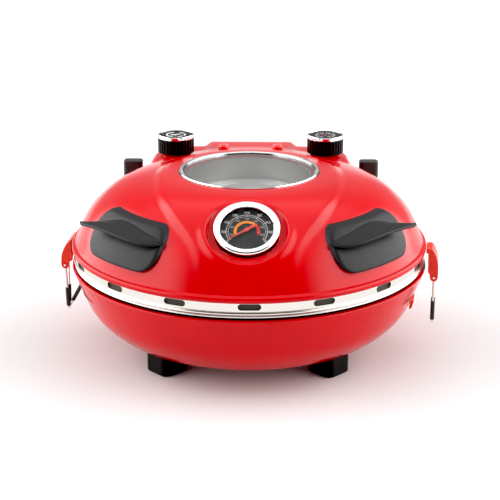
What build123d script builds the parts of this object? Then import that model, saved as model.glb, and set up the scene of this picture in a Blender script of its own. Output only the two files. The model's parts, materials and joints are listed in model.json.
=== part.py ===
from build123d import *
import math
import os

# Countertop clamshell pizza oven. Millimetres, +Z up, front faces -Y.
# Built about the axis of the closing ring, then moved by SHIFT_Y so that the origin is
# the middle of the oven's bottom (Z = 0 is the table).

# ---------------------------------------------------------------- driving dimensions
R_RING = 176.0          # radius of the steel closing rings
R_LID = 178.0           # widest radius of the red lid lip
Z_BEAD_BASE = (89.8, 92.0)
Z_BEAD_LID = (92.6, 95.2)
Z_BAND = (97.2, 104.2)  # slotted steel band under the lid lip
SHEET = 1.2             # painted sheet steel
PAN = 0.8               # bright inner sheet
SLOT_COUNT = 16
SLOT_LEN = 21.0
SLOT_H = 6.0
SLOT_PHASE = 1.0        # degrees, the band is turned this much against the lid
HINGE_Y, HINGE_Z = 191.0, 97.0
HINGE_X = 40.0
STONE_R, STONE_T = 152.0, 12.0
GAUGE_C = (0.0, -135.0, 162.7)
GAUGE_TILT = 56.0       # elevation of the gauge's outward normal
GAUGE_R = 30.4
GAUGE_IN = 24.3
NEEDLE_REST = 213.5     # degrees, seen from outside, counter-clockwise from the right
KNOB_X, KNOB_Y = 79.4, 97.0
KNOB_R = 19.2
KNOB_Z = (172.5, 191.6)
LAMP_X, LAMP_Y, LAMP_R = 28.7, 98.0, 5.6
FOOT_X, FOOT_Y, FOOT_A = 78.5, 85.0, 32.0
LATCH_BETA = {-1: 2.0, 1: -8.0}   # degrees behind the side, left and right
PIVOT_R, PIVOT_Z = 187.0, 79.3
WIRE_R = 1.1
BAIL_LEN = 50.5
SHIFT_Y = -9.5          # puts the origin under the middle of the whole oven, hinge included
POST_X = (117.5, 138.0)
POST_Y = (111.0, 125.0)
POST_TOP = 157.5
AZ_HANDLE = 48.0        # degrees from the front

DOME = [(0, 178.9), (40, 178.8), (69.7, 178.6), (78, 178.4), (84, 177.9), (88, 176.8), (92, 174.9),
        (96.5, 173.3), (103, 172.3), (110, 171.0), (120, 168.2), (130, 164.0), (140, 158.0),
        (149.5, 150.2), (156, 143.6), (162.6, 135.0), (169.1, 122.0), (173.4, 112.4)]
BOWL = [(178.0, 87.4), (176.0, 81.5), (173.0, 73.3), (168.2, 61.2), (161.9, 46.5), (151.0, 33.2),
        (136.6, 22.2), (119.0, 15.3), (100.5, 12.0), (86.0, 11.7)]

PARTS = "parts"
os.makedirs(PARTS, exist_ok=True)
NODES = {}


def put(name, shape):
    NODES[name] = shape


def ring(points):
    """Closed (r, z) polygon turned about Z."""
    face = make_face(Polyline(*[(r, 0, z) for r, z in points], close=True))
    return revolve(face, axis=Axis.Z)


def spl(points, tangents=None):
    pts = [(r, 0, z) for r, z in points]
    return Spline(*pts, tangents=tangents) if tangents else Spline(*pts)


def turn(edges):
    return revolve(make_face(edges), axis=Axis.Z)


def cyl(x, y, z0, z1, r):
    return Pos(x, y, (z0 + z1) / 2) * Cylinder(r, z1 - z0)


def offset_profile(pts, d):
    """Shift a profile by d to its left side, point by point."""
    out = []
    for i, (r, z) in enumerate(pts):
        a = pts[max(i - 1, 0)]
        b = pts[min(i + 1, len(pts) - 1)]
        tx, tz = b[0] - a[0], b[1] - a[1]
        n = math.hypot(tx, tz)
        out.append((max(r - tz / n * d, 0.0) if r > 0 else 0.0, z + tx / n * d))
    return out


def big(shape):
    """The largest solid of a result."""
    if isinstance(shape, Solid):
        return shape
    found = list(shape) if isinstance(shape, ShapeList) else [shape]
    sols = [q for f in found for q in f.solids()]
    return max(sols, key=lambda q: q.volume)


def polar(r, deg, z=0.0):
    """Point at radius r, deg measured from the front towards +X."""
    a = math.radians(deg)
    return (r * math.sin(a), -r * math.cos(a), z)


# ================================================================= BASE
# Deep red bowl with a flat floor and a rim turned in under the closing ring
inner_bowl = offset_profile(BOWL, -SHEET)
inner_bowl[0] = (BOWL[0][0] - SHEET, BOWL[0][1])
e1 = spl(BOWL)
e2 = Line((BOWL[-1][0], 0, BOWL[-1][1]), (0, 0, BOWL[-1][1]))
e3 = Line((0, 0, BOWL[-1][1]), (0, 0, BOWL[-1][1] + SHEET))
e4 = Line((0, 0, BOWL[-1][1] + SHEET), (inner_bowl[-1][0], 0, BOWL[-1][1] + SHEET))
inner_bowl[-1] = (inner_bowl[-1][0], BOWL[-1][1] + SHEET)
e5 = spl(list(reversed(inner_bowl)))
e6 = Line((inner_bowl[0][0], 0, inner_bowl[0][1]), (BOWL[0][0], 0, BOWL[0][1]))
bowl = turn([e1, e2, e3, e4, e5, e6])
lip = ring([(176.75, 86.4), (176.75, 87.4), (173.2, 87.4), (173.2, 86.4)])
bowl = bowl + lip
# two pressed vents, one on each side of the front
for s in (1, -1):
    for a in (66.0,):
        cutter = Rot(0, 0, s * a) * (Pos(0, -168.5, 66.6) * Rot(28, 0, 0) * Box(34, 16, 2.6))
        bowl = bowl - cutter
for sx in (1, -1):
    for sy in (1, -1):
        bowl = bowl - cyl(sx * FOOT_X, sy * FOOT_Y, 0, 60, 2.6)
put("base_bowl", bowl)

# Bright inner pan: floor, step that carries the stone, wall, rolled bead
zb0, zb1 = Z_BEAD_BASE
pan_out = [(0, 42), (132, 42), (143, 46), (147.2, 69), (149.2, 71.2), (158.5, 71.2), (161.5, 73),
           (170.4, 87.9), (172.2, 89.2), (175.2, 89.8), (176.0, 90.5), (176.0, 91.3), (175.2, 92.0), (172.6, 92.0)]
pan_in = [(171.2, 91.2), (169.4, 89.0), (160.6, 74.2), (158.0, 72.0), (148.7, 72.0), (146.4, 70.2),
          (142.2, 46.8), (131.8, 42.8), (0, 42.8)]
pan = ring(pan_out + pan_in)
for k in range(3):
    x, y, _ = polar(108, 60 + 120 * k)
    pan = pan - cyl(x, y, 30, 50, 2.1)
put("base_pan", pan)

# Refractory stone, loose on the step of the pan
stone = cyl(0, 0, 72.1, 72.1 + STONE_T, STONE_R)
stone = chamfer(stone.edges().filter_by(GeomType.CIRCLE), 1.5)
put("pizza_stone", stone)


def heater(z, rr, tail):
    """Open ring of sheathed element with two cold ends turned to the back."""
    r = 3.6
    gap = 9.0
    a = math.degrees(math.asin(gap / rr))
    p0 = polar(rr, 180 - a, z)
    p1 = polar(rr, 180 + a, z)
    mid = polar(rr, 0, z)
    arc = ThreePointArc(p0, mid, p1)
    loop = sweep(Plane(origin=p0, z_dir=arc.tangent_at(0)) * Circle(r), arc)
    yb = p0[1]
    t = tail
    legs = Pos(p0[0], (yb + t) / 2, z) * Rot(90, 0, 0) * Cylinder(r * 0.86, t - yb + 3.0)
    legs2 = Pos(p1[0], (yb + t) / 2, z) * Rot(90, 0, 0) * Cylinder(r * 0.86, t - yb + 3.0)
    return loop + legs + legs2


put("lower_element", heater(56.0, 108.0, 134.0))
clips = []
for k in range(3):
    ang = 60 + 120 * k
    c = Rot(0, 0, ang) * (Pos(0, -108, 0) * (
        Pos(0, 0, 47.45) * Box(9, 13, 9.1) + Pos(0, 5.6, 56.0) * Box(9, 1.8, 9.6) + Pos(0, -5.6, 56.0) * Box(9, 1.8, 9.6)))
    x, y, _ = polar(108, ang)
    clips.append(c)
put("lower_element_clips", Compound(children=[c if isinstance(c, Solid) else c.solids()[0] for c in clips]))

# Moulded feet, cut to the bowl's curve
bowl_mass = turn([spl(BOWL), Line((BOWL[-1][0], 0, BOWL[-1][1]), (0, 0, BOWL[-1][1])),
                  Line((0, 0, BOWL[-1][1]), (0, 0, BOWL[0][1])), Line((0, 0, BOWL[0][1]), (BOWL[0][0], 0, BOWL[0][1]))])
bowl_mass = scale(bowl_mass, 1.0)
foot_names = {(-1, -1): "foot_front_left", (1, -1): "foot_front_right", (-1, 1): "foot_rear_left", (1, 1): "foot_rear_right"}
screws = []
for (sx, sy), nm in foot_names.items():
    foot = Pos(sx * FOOT_X, sy * FOOT_Y, 20) * Rot(0, 0, 45) * extrude(RectangleRounded(FOOT_A, FOOT_A, 8.0), 20, both=True)
    foot = foot - Pos(0, 0, -0.15) * bowl_mass
    foot = foot - cyl(sx * FOOT_X, sy * FOOT_Y, -1, 6, 5.2) - cyl(sx * FOOT_X, sy * FOOT_Y, 0, 40, 2.4)
    lowest = sorted(foot.solids(), key=lambda s: s.bounding_box().min.Z)[0]
    rim = [e for e in lowest.edges() if abs(e.bounding_box().min.Z) < 1e-3 and abs(e.bounding_box().max.Z) < 1e-3
           and math.hypot(e.center().X - sx * FOOT_X, e.center().Y - sy * FOOT_Y) > 8]
    lowest = chamfer(rim, 1.0)
    put(nm, lowest.solids()[0])
    s = cyl(sx * FOOT_X, sy * FOOT_Y, 2.6, 5.9, 4.4) + cyl(sx * FOOT_X, sy * FOOT_Y, 5.9, 20.9, 2.1)
    s = s + cyl(sx * FOOT_X, sy * FOOT_Y, 18.6, 21.4, 4.4)
    screws.append(s.solids()[0])
put("foot_screws", Compound(children=screws))

# ----------------------------------------------------------------- hinge
def plate(x0, x1, y0, y1, z0, z1):
    return Pos((x0 + x1) / 2, (y0 + y1) / 2, (z0 + z1) / 2) * Box(x1 - x0, y1 - y0, z1 - z0)


def ear(x0, x1, r, hole):
    c = Pos((x0 + x1) / 2, HINGE_Y, HINGE_Z) * Rot(0, 90, 0) * Cylinder(r, x1 - x0)
    return c


base_hinge = plate(-60, 60, 180.2, 182.0, 62.0, 86.0)
for s in (1, -1):
    for (a, b) in ((HINGE_X - 13, HINGE_X - 10.5), (HINGE_X + 10.5, HINGE_X + 13)):
        x0, x1 = sorted((s * a, s * b))
        base_hinge += ear(x0, x1, 6.0, 2.5)
        base_hinge += plate(x0, x1, 182.0, 196.0, 74.0, 84.0)
        base_hinge += plate(x0, x1, 187.0, 196.0, 84.0, 97.0)
base_hinge = base_hinge - Pos(0, HINGE_Y, HINGE_Z) * Rot(0, 90, 0) * Cylinder(2.56, 140)
# stand-off shoes follow the bowl's back
shoe = plate(-60, 60, 165.0, 180.2, 64.0, 82.0) - turn([spl(BOWL), Line((BOWL[-1][0], 0, BOWL[-1][1]), (0, 0, BOWL[-1][1])),
        Line((0, 0, BOWL[-1][1]), (0, 0, BOWL[0][1])), Line((0, 0, BOWL[0][1]), (BOWL[0][0], 0, BOWL[0][1]))])
shoe = [q for q in shoe.solids() if q.center().Y > 150][0]
grow = Pos(0, 0.12, 0) * shoe
base_hinge = base_hinge + grow
put("base_hinge_bracket", big(base_hinge))

pins = []
for s in (1, -1):
    pin = Pos(s * HINGE_X, HINGE_Y, HINGE_Z) * Rot(0, 90, 0) * Cylinder(2.5, 27.0)
    pin += Pos(s * (HINGE_X + 14.6), HINGE_Y, HINGE_Z) * Rot(0, 90, 0) * Cylinder(4.0, 2.4)
    pin += Pos(s * (HINGE_X - 14.3), HINGE_Y, HINGE_Z) * Rot(0, 90, 0) * Cylinder(3.4, 1.8)
    pins.append(pin.solids()[0])
put("hinge_pins", Compound(children=pins))

# ================================================================= LID
R_SEAT, Z_SEAT = 69.8, 174.6      # recess that carries the window
dome_out = [p for p in DOME if p[0] >= 69.7]
dome_in = offset_profile(dome_out, -SHEET * 1.1)


def dome_shell_faces():
    lip_out = [(173.4, 112.4), (174.3, 110.6), (176.7, 109.4), (178.0, 107.4), (178.0, 105.2), (177.1, 104.35), (175.4, 104.35)]
    lip_in = [(175.4, 105.5), (176.2, 106.0), (176.5, 107.4), (175.2, 108.6), (172.6, 110.0), (171.95, 111.5)]
    d_in = offset_profile(dome_out, -1.35)
    d_in[-1] = (171.95, 111.5)
    d_in[0] = (71.1, 177.2)
    e = [spl(dome_out), Polyline(*[(r, 0, z) for r, z in lip_out]),
         Polyline(*[(r, 0, z) for r, z in [lip_out[-1]] + lip_in]),
         spl(list(reversed(d_in))),
         Polyline(*[(r, 0, z) for r, z in [d_in[0], (71.1, 173.4), (62.0, 173.4), (62.0, 174.6), (69.7, 174.6), dome_out[0]]])]
    return turn(e)


shell = dome_shell_faces()

# raised housing at the back for the controls
def housing(off):
    low = Pos(0, 106.0, 0) * extrude(RectangleRounded(2 * (105.0 - off), 2 * (40.0 - off), 26.0 - off), 168.6 - off)
    mid = Pos(0, 106.0, 0) * extrude(RectangleRounded(2 * (47.0 - off), 2 * (37.0 - off), 16.0 - off), 173.5 - off)
    return low + mid


under = turn([spl([(0, 178.9), (40, 178.8)] + dome_out), Line((173.4, 0, 112.4), (173.4, 0, 100)),
              Line((173.4, 0, 100), (0, 0, 100)), Line((0, 0, 100), (0, 0, 178.9))])
under_in = Pos(0, 0, -1.7) * turn([spl([(0, 178.9), (40, 178.8)] + dome_out), Line((173.4, 0, 112.4), (173.4, 0, 90)),
              Line((173.4, 0, 90), (0, 0, 90)), Line((0, 0, 90), (0, 0, 178.9))])
room = Pos(0, 112, 150) * Box(260, 90, 100)
cover = big(big(housing(0.0) & room) - Pos(0, 0, -0.7) * under)
inside = big(big(housing(1.4) & room) - Pos(0, 0, -9.0) * under)
cover = big(cover - inside)
shell = big(shell - inside)
shell = big(shell + cover)
# raised collars under the two knobs
for s in (1, -1):
    shell = big(shell + cyl(s * KNOB_X, KNOB_Y, 167.4, 172.0, 15.0))
    shell = big(shell - cyl(s * KNOB_X, KNOB_Y, 150, 180, 3.4))
    shell = big(shell - cyl(s * LAMP_X, LAMP_Y, 150, 180, 4.1))

# gauge seat
GP = Plane(origin=GAUGE_C, x_dir=(1, 0, 0), z_dir=(0, -math.cos(math.radians(GAUGE_TILT)), math.sin(math.radians(GAUGE_TILT))))
shell = big(shell - (GP * (Pos(0, 0, -2.0) * Cylinder(37.0, 34.0))))
# pressed cup that carries the thermometer, let into the round hole
cup = GP * (Pos(0, 0, -5.0) * (Cylinder(36.9, 20.0) - Cylinder(35.5, 30.0)) + Pos(0, 0, -7.3) * (Cylinder(36.9, 2.0) - Cylinder(28.9, 6.0)))
put("gauge_seat", big(cup & under))
# cable entry
GLAND_Z = 150.0
shell = shell - Pos(-70, 140, GLAND_Z) * Rot(90, 0, 0) * Cylinder(6.2, 40)
put("lid_shell", big(shell))

# Slotted band with a rolled bead; it closes the lid's lower edge
band = ring([(174.6, 104.2), (176.0, 104.2), (176.0, 97.2), (174.9, 96.9), (174.9, 95.5), (176.2, 95.2), (176.6, 94.4), (176.6, 93.4),
             (176.0, 92.6), (172.4, 92.6), (172.4, 93.4), (173.9, 93.4), (173.9, 96.5), (174.6, 98.0)])
for k in range(SLOT_COUNT):
    a = k * 360.0 / SLOT_COUNT + SLOT_PHASE
    slot = Rot(0, 0, a) * (Pos(0, -175.5, 100.75) * Rot(90, 0, 0) * extrude(SlotOverall(SLOT_LEN, SLOT_H), 6, both=True))
    band = band - slot
put("lid_rim_band", band.solids()[0])

# Bright inner roof with the window opening
roof = ring([(56.0, 148.0), (96.0, 146.0), (122.0, 138.0), (150.0, 119.0), (165.5, 98.5), (166.8, 92.7), (172.2, 92.7), (172.2, 93.5),
             (167.5, 93.5), (166.3, 99.0), (150.6, 119.8), (122.3, 138.9), (96.1, 146.9), (56.0, 148.9)])
roof = roof - (GP * (Pos(0, 0, -40) * Cylinder(4.6, 60.0)))
for k in range(3):
    x, y, _ = polar(104, 60 + 120 * k)
    roof = roof - cyl(x, y, 120, 170, 2.1)
put("lid_inner_pan", roof.solids()[0])

put("window_gasket", ring([(63.5, 174.7), (69.0, 174.7), (69.0, 175.5), (63.5, 175.5)]))
put("window_glass", cyl(0, 0, 175.55, 178.35, 68.9))
trim = ring([(66.3, 178.45), (69.6, 178.45), (69.6, 179.2), (69.0, 180.0), (67.2, 180.0), (66.3, 179.4)])
trim = trim + (Pos(0, -66.6, 179.1) * Box(18.0, 3.6, 1.2))
put("window_trim", trim)
put("window_collar", ring([(61.2, 173.3), (62.0, 173.3), (60.4, 150.2), (63.5, 149.1), (63.5, 149.95), (61.6, 150.6), (62.8, 173.2)][0:0] +
                         [(60.8, 173.2), (61.6, 173.2), (60.9, 152.6), (66.0, 152.6), (66.0, 149.2), (65.2, 149.2), (65.2, 151.8), (60.1, 151.8)]))
put("window_inner_glass", cyl(0, 0, 148.95, 151.6, 59.4))

put("upper_element", heater(131.0, 104.0, 120.0))
clips = []
for k in range(3):
    ang = 60 + 120 * k
    c = Rot(0, 0, ang) * (Pos(0, -104, 0) * (
        Pos(0, 0, 138.9) * Box(9, 13, 7.6) + Pos(0, 5.6, 131.2) * Box(9, 1.8, 9.0) + Pos(0, -5.6, 131.2) * Box(9, 1.8, 9.0)))
    c = c - ring([(50.0, 148.05), (96.0, 145.9), (122.0, 137.9), (150.0, 118.9), (165, 98), (165, 170), (50, 170)])
    clips.append(big(c))
put("upper_element_clips", Compound(children=clips))

# ----------------------------------------------------------------- gauge
def gring(points):
    face = make_face(Polyline(*[(r, 0, z) for r, z in points], close=True))
    return GP * revolve(face, axis=Axis.Z)


put("gauge_bezel", gring([(24.3, -2.0), (24.3, -1.3), (25.1, -0.3), (26.4, 0.0), (28.8, 0.0), (29.9, -0.5), (30.4, -1.4), (30.4, -2.3), (29.7, -2.8), (29.3, -3.0), (29.3, -6.05), (28.75, -6.05), (28.75, -2.0)]))
put("gauge_lens", gring([(0, -3.15), (27.8, -3.15), (27.8, -2.1), (0, -2.1)]))
put("gauge_dial", gring([(1.0, -7.4), (27.4, -7.4), (27.4, -6.9), (1.0, -6.9)]))
put("gauge_case", gring([(0, -15.0), (26.5, -15.0), (28.5, -13.5), (28.5, -3.25), (27.6, -3.25), (27.6, -7.45), (24.0, -7.45), (24.0, -13.8), (0, -13.8)]))
put("gauge_stem", GP * (Pos(0, 0, -31.0) * Cylinder(3.4, 31.9)))
ndir = math.radians(NEEDLE_REST)
tip = (19.6 * math.cos(ndir), 19.6 * math.sin(ndir))
tail = (-11.0 * math.cos(ndir), -11.0 * math.sin(ndir))
nx, ny = -math.sin(ndir), math.cos(ndir)
needle = make_face(Polyline((tip[0] + 0.35 * nx, tip[1] + 0.35 * ny), (tail[0] + 1.3 * nx, tail[1] + 1.3 * ny),
                            (tail[0] - 1.3 * nx, tail[1] - 1.3 * ny), (tip[0] - 0.35 * nx, tip[1] - 0.35 * ny), close=True))
needle = extrude(needle, 0.5)
needle = Pos(0, 0, -4.3) * needle
needle += Pos(0, 0, -4.08) * Cylinder(1.9, 1.24) + Pos(0, 0, -6.2) * Cylinder(0.93, 3.4)
put("gauge_needle", GP * needle)

# ----------------------------------------------------------------- handles
PAD_T = 4.6
skin = [(130.0, 164.0), (140.0, 158.0), (149.5, 150.2), (156.0, 143.6), (162.6, 135.0), (169.1, 122.0), (173.0, 113.2)]
pad_in = offset_profile(skin, 0.15)
pad_out = offset_profile(skin, PAD_T)
pad_ring = turn([spl(pad_in), Line((pad_in[-1][0], 0, pad_in[-1][1]), (pad_out[-1][0], 0, pad_out[-1][1])),
                 spl(list(reversed(pad_out))), Line((pad_out[0][0], 0, pad_out[0][1]), (pad_in[0][0], 0, pad_in[0][1]))])


def crescent(side):
    """Finger blade of the handle, in plan."""
    a0, a1 = 31.5, 62.6
    p = lambda r, a: (side * r * math.sin(math.radians(a)), -r * math.cos(math.radians(a)), 0)
    root0, root1 = p(150.0, a0), p(150.0, 65.0)
    out0, out1 = p(170.0, 32.5), p(178.4, a1)
    mid = p(177.5, 46)
    rmid = p(150.0, 48)
    c = make_face([ThreePointArc(root0, rmid, root1), Line(root1, out1), ThreePointArc(out1, mid, out0), Line(out0, root0)])
    return Pos(0, 0, 147.2) * big(extrude(c, 3.3, dir=(0, 0, 1)))


for side, nm in ((-1, "left_handle"), (1, "right_handle")):
    prism = extrude(Plane.XZ * (Pos(side * 1.5, 140.2) * RectangleRounded(101.5, 38.6, 13.0)), 220)
    prism = Rot(0, 0, side * AZ_HANDLE) * prism
    pad = big(pad_ring & prism)
    blade = crescent(side)
    blade = big(blade - turn([spl([(0, 178.0), (60, 177.0), (110, 171.2)] + [(120, 168.2)] + pad_in), Line((pad_in[-1][0], 0, pad_in[-1][1]), (0, 0, pad_in[-1][1])),
                          Line((0, 0, pad_in[-1][1]), (0, 0, 178.0))]))
    h = pad + blade
    put(nm, big(h))

hs = []
for side in (-1, 1):
    for da in (-11, 11):
        az = AZ_HANDLE + da
        rr, zz = 158.6, 139.6
        # axis square to the shell there
        d = Plane(origin=polar(rr, side * az, zz), z_dir=(side * math.sin(math.radians(az)) * 0.78, -math.cos(math.radians(az)) * 0.78, 0.62))
        q = d * (Pos(0, 0, -2.2) * Cylinder(3.6, 2.0))
        hs.append(q if isinstance(q, Solid) else q.solids()[0])
put("handle_screws", Compound(children=hs))

# ----------------------------------------------------------------- controls
for s, nm in ((-1, "thermostat"), (1, "timer")):
    x = s * KNOB_X
    body = Pos(x, KNOB_Y, 156.7) * Box(30, 30, 18.4) if nm == "timer" else Pos(x, KNOB_Y, 155.4) * extrude(RectangleRounded(32, 26, 4), 10.5, both=True)
    top = 165.9
    body = body & (Pos(0, 0, 130) * Box(600, 600, 72))
    body = body - cyl(x, KNOB_Y, 140, 180, 3.15)
    put(nm + "_body", body.solids()[0])
    z0, z1 = KNOB_Z
    n = 32
    outer = Circle(KNOB_R)
    k = extrude(outer, z1 - z0 - 3.6)
    notches = Sketch() + [Rot(0, 0, 360.0 / n * i) * (Pos(KNOB_R, 0) * Circle(0.9)) for i in range(n)]
    k = k - extrude(notches, z1 - z0)
    k = Pos(x, KNOB_Y, z0) * k
    k = k - cyl(x, KNOB_Y, z0 - 1, z0 + 11.0, 3.06) - ring([(6, z0 - 1), (16.5, z0 - 1), (16.5, z0 + 9), (6, z0 + 9)]).moved(Location((x, KNOB_Y, 0)))
    put(nm + "_knob", k.solids()[0])
    zr = z1 - 3.6
    rp = [(17.4, zr + 0.05), (KNOB_R - 0.1, zr + 0.05), (KNOB_R - 0.1, z1 - 0.8), (KNOB_R - 0.7, z1), (17.9, z1), (17.4, z1 - 0.5)]
    put(nm + "_knob_ring", ring(rp).moved(Location((x, KNOB_Y, 0))))
    put(nm + "_knob_cap", cyl(x, KNOB_Y, zr + 0.05, z1 - 0.9, 17.3))
    shaft = cyl(x, KNOB_Y, 143.0, z0 + 10.8, 3.0)
    put(nm + "_shaft", shaft)

for s, nm in ((-1, "left_lamp"), (1, "right_lamp")):
    x = s * LAMP_X
    lens = Pos(x, LAMP_Y, 0) * ring([(0, 173.6), (LAMP_R, 173.6), (LAMP_R, 178.2), (LAMP_R - 0.9, 179.4), (LAMP_R - 2.4, 179.8), (0, 179.9)])
    lens = lens + cyl(x, LAMP_Y, 168.0, 173.6, 4.0)
    put(nm, lens)
holders = []
for s in (-1, 1):
    holders.append((cyl(s * LAMP_X, LAMP_Y, 158.0, 171.9, 6.6) - cyl(s * LAMP_X, LAMP_Y, 164.0, 175.0, 4.1)).solids()[0])
put("lamp_holders", Compound(children=holders))

# ----------------------------------------------------------------- rear posts, cable gland
under_big = Pos(0, 0, 0.15) * turn([spl([(0, 178.9), (40, 178.8)] + dome_out), Line((173.4, 0, 112.4), (178.15, 0, 109.5)),
                                   Line((178.15, 0, 109.5), (178.15, 0, 95)), Line((178.15, 0, 95), (0, 0, 95)), Line((0, 0, 95), (0, 0, 178.9))])
for s, nm in ((-1, "left_rear_post"), (1, "right_rear_post")):
    x0, x1 = POST_X
    y0, y1 = POST_Y
    p = Pos(s * (x0 + x1) / 2, (y0 + y1) / 2, 118.0) * extrude(RectangleRounded(x1 - x0, y1 - y0, 4.0), POST_TOP - 118.0)
    p = fillet(p.faces().sort_by(Axis.Z)[-1].edges(), 1.8)
    p = p - under_big
    p = p - housing(-0.15)
    put(nm, big(p))

gl = Pos(-70, 0, GLAND_Z) * Rot(-90, 0, 0) * (Pos(0, 0, 146.2 + 2.0) * Cylinder(9.0, 4.0) + Pos(0, 0, 146.2 + 9.0) * Cylinder(7.0, 14.0) + Pos(0, 0, 141.0) * Cylinder(6.0, 11.0))
gl = gl - Pos(-70, 150, GLAND_Z) * Rot(90, 0, 0) * Cylinder(3.9, 60)
put("cord_gland", gl.solids()[0])

# ----------------------------------------------------------------- hinge half on the lid
arm = None
for s in (1, -1):
    x0, x1 = sorted((s * (HINGE_X - 9.9), s * (HINGE_X + 9.9)))
    a = Pos(s * HINGE_X, HINGE_Y, HINGE_Z) * Rot(0, 90, 0) * Cylinder(5.6, 19.8)
    a += plate(x0, x1, 186.0, 195.0, 99.0, 113.5)
    a += plate(x0, x1, 176.0, 195.0, 108.5, 113.5)
    a = a - Pos(s * HINGE_X, HINGE_Y, HINGE_Z) * Rot(0, 90, 0) * Cylinder(2.56, 60)
    a = a - under_big
    arm = a if arm is None else arm + a
arm = arm + (plate(-58, 58, 176.5, 181.0, 108.5, 113.5) - under_big)
put("lid_hinge_arm", big(arm))

# ----------------------------------------------------------------- latches
def local(side):
    """Frame of a side latch: x runs outwards, y runs along the rim to the back."""
    b = math.radians(LATCH_BETA[side])
    return Plane(origin=(0, 0, 0), x_dir=(side * math.cos(b), math.sin(b), 0), z_dir=(0, 0, 1))


def rod(p, q, r):
    """Round bar between two points."""
    p, q = Vector(*p), Vector(*q)
    pl = Plane(origin=(p + q) * 0.5, z_dir=(q - p).normalized())
    return pl * Cylinder(r, (q - p).length)


# folded bracket: outer outline of its cheeks, the left one slimmer at the top
CREST = {-1: [(178.3, 107.8), (180.6, 106.2), (184.4, 102.0), (187.6, 97.0), (189.9, 91.0), (190.6, 86.2)],
         1: [(178.3, 108.6), (184.2, 108.4), (186.6, 105.2), (188.8, 100.2), (190.4, 93.0), (190.8, 85.4)]}
CHEEK_END = [(190.9, 80.0), (190.0, 76.6), (187.8, 75.2), (185.0, 75.4), (183.2, 77.4), (182.6, 82.0), (180.8, 85.0), (180.4, 103.9), (178.3, 104.6)]
HALF_W = 11.5
for side, nm in ((-1, "left"), (1, "right")):
    L = local(side)
    crest = CREST[side]
    inner = offset_profile(crest, -1.2)
    inner[0] = (crest[0][0], crest[0][1] - 1.2)
    inner[-1] = (inner[-1][0], crest[-1][1])
    ck = make_face(Polyline(*[(r, 0, z) for r, z in crest + CHEEK_END], close=True))
    wb = make_face(Polyline(*[(r, 0, z) for r, z in crest + inner[::-1]], close=True))
    b = None
    for y in (-HALF_W, HALF_W - 1.2):
        c = extrude(ck, 1.2, dir=(0, 1, 0)).moved(Location((0, y, 0)))
        b = c if b is None else b + c
    b = b + extrude(wb, 2 * HALF_W, dir=(0, 1, 0)).moved(Location((0, -HALF_W, 0)))
    b = b - Pos(PIVOT_R, 0, PIVOT_Z) * Rot(90, 0, 0) * Cylinder(WIRE_R + 0.09, 60)
    b = L.location * b
    b = b - Pos(0, 0, -0.1) * turn([spl([(0, 178.9), (40, 178.8)] + dome_out), Line((173.4, 0, 112.4), (178.15, 0, 109.5)),
                                   Line((178.15, 0, 109.5), (178.15, 0, 95)), Line((178.15, 0, 95), (0, 0, 95)), Line((0, 0, 95), (0, 0, 178.9))])
    put(nm + "_latch_bracket", big(b))
    # wire bail: its ends turn in the cheeks, its two legs draw together towards the grip
    pts = [(-13.0, 0), (-8.4, 0), (-2.3, -BAIL_LEN), (2.3, -BAIL_LEN), (8.4, 0), (13.0, 0)]
    path = FilletPolyline(*[(PIVOT_R, y, PIVOT_Z + z) for y, z in pts], radius=2.0)
    w = sweep(Plane(origin=path @ 0, z_dir=path % 0) * Circle(WIRE_R), path)
    gs = []
    leg = math.hypot(8.4 - 2.3, BAIL_LEN)
    for sgn in (-1, 1):
        top, low = (PIVOT_R, sgn * 8.4, PIVOT_Z), (PIVOT_R, sgn * 2.3, PIVOT_Z - BAIL_LEN)
        at = lambda t: tuple(u + (v - u) * t for u, v in zip(top, low))
        g = rod(at(27.5 / leg), at(1 - 3.2 / leg), 2.1) - rod(at(20.0 / leg), at(1.0), WIRE_R + 0.05)
        g = g & (Pos(PIVOT_R, sgn * 50.02, PIVOT_Z) * Box(40, 100, 200))
        gs.append((L.location * big(g)).solids()[0])
    if side < 0:
        # short covered arm that clips under the catch
        p0, p1 = (PIVOT_R, 0, PIVOT_Z - BAIL_LEN), (174.2, 0, 52.2)
        w = w + rod(p0, p1, WIRE_R)
        u = lambda t: tuple(m + (n - m) * t for m, n in zip(p0, p1))
        arm_grip = rod(u(0.34), (173.9, 0, 52.75), 2.0) - rod(p0, p1, WIRE_R + 0.05)
        gs.append((L.location * big(arm_grip)).solids()[0])
    put(nm + "_bail_wire", L.location * big(w))
    put(nm + "_bail_grips", Compound(children=gs))
    # catch on the bowl's side
    if side > 0:
        tab = [(160.0, 57.5), (168.2, 52.6), (166.4, 46.0), (164.6, 44.2), (163.6, 45.4), (164.6, 50.4), (158.0, 54.0)]
    else:
        tab = [(160.0, 70.0), (170.8, 64.8), (171.2, 59.6), (169.4, 58.8), (168.4, 62.2), (158.0, 66.4)]
    hook = make_face(Polyline(*[(r, 0, z) for r, z in tab], close=True))
    hk = extrude(hook, 22.0, dir=(0, 1, 0)).moved(Location((0, -11.0, 0)))
    hk = L.location * hk
    skin = offset_profile(BOWL, 0.12)
    hk = hk - turn([spl(skin), Line((skin[-1][0], 0, skin[-1][1]), (0, 0, skin[-1][1])),
                    Line((0, 0, skin[-1][1]), (0, 0, skin[0][1])), Line((0, 0, skin[0][1]), (skin[0][0], 0, skin[0][1]))])
    put(nm + "_catch", big(hk))

# ================================================================= write
for name, shape in NODES.items():
    if isinstance(shape, ShapeList):
        shape = Compound(children=list(shape))
    shape = shape.moved(Location((0, SHIFT_Y, 0)))
    export_step(shape, os.path.join(PARTS, name + ".step"))
print(len(NODES), "nodes")
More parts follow.
